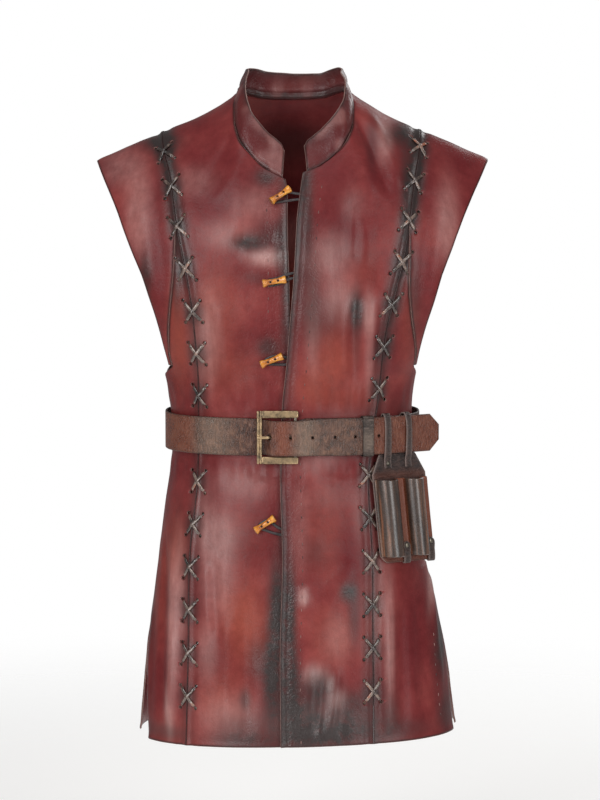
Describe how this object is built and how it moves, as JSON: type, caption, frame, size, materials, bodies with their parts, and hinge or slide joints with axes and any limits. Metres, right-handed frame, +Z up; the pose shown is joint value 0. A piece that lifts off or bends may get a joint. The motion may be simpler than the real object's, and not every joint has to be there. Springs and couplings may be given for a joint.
{
  "type": "sleeveless leather jerkin",
  "caption": "Hip-length oxblood leather jerkin, thong-laced panels, standing collar, toggle fastening, buckled belt with twin-tube carrier, worn hollow form.",
  "frame": {"origin": "between the shoulders at the base of the neck, on the wearer's axis", "axes": "+Z up the wearer's back towards the collar, -Y out of the front, +X towards the wearer's left"},
  "size_m": [0.5193, 0.2835, 0.8879],
  "materials": {
    "jerkin_leather": "worn semi-gloss oxblood leather",
    "thong": "dark worn thong",
    "loop_cord": "dull grey-brown cord",
    "bamboo": "polished amber bamboo",
    "belt_leather": "distressed brown leather",
    "old_brass": "antique brushed brass",
    "carrier_leather": "glossy moulded dark brown leather"
  },
  "bodies": {
    "root": {"back": "jerkin_leather", "belt_keeper": "belt_leather", "belt_strap": "belt_leather", "buckle_frame": "old_brass", "buckle_prong": "old_brass", "carrier_back": "carrier_leather", "carrier_front": "carrier_leather", "carrier_loop_1": "belt_leather", "carrier_loop_2": "belt_leather", "carrier_rivet_1": "old_brass", "carrier_rivet_2": "old_brass", "carrier_rivet_3": "old_brass", "carrier_strap_1": "belt_leather", "carrier_strap_2": "belt_leather", "collar": "jerkin_leather", "front_left": "jerkin_leather", "front_right": "jerkin_leather", "lace_back_left": "thong", "lace_back_right": "thong", "lace_front_left": "thong", "lace_front_right": "thong", "loop_1": "loop_cord", "loop_2": "loop_cord", "loop_3": "loop_cord", "loop_4": "loop_cord", "side_back_left": "jerkin_leather", "side_back_right": "jerkin_leather", "side_front_left": "jerkin_leather", "side_front_right": "jerkin_leather", "toggle_1": "bamboo", "toggle_2": "bamboo", "toggle_3": "bamboo", "toggle_4": "bamboo", "toggle_tie_1": "loop_cord", "toggle_tie_2": "loop_cord", "toggle_tie_3": "loop_cord", "toggle_tie_4": "loop_cord", "wing_left": "jerkin_leather", "wing_right": "jerkin_leather"}
  },
  "joints": []
}
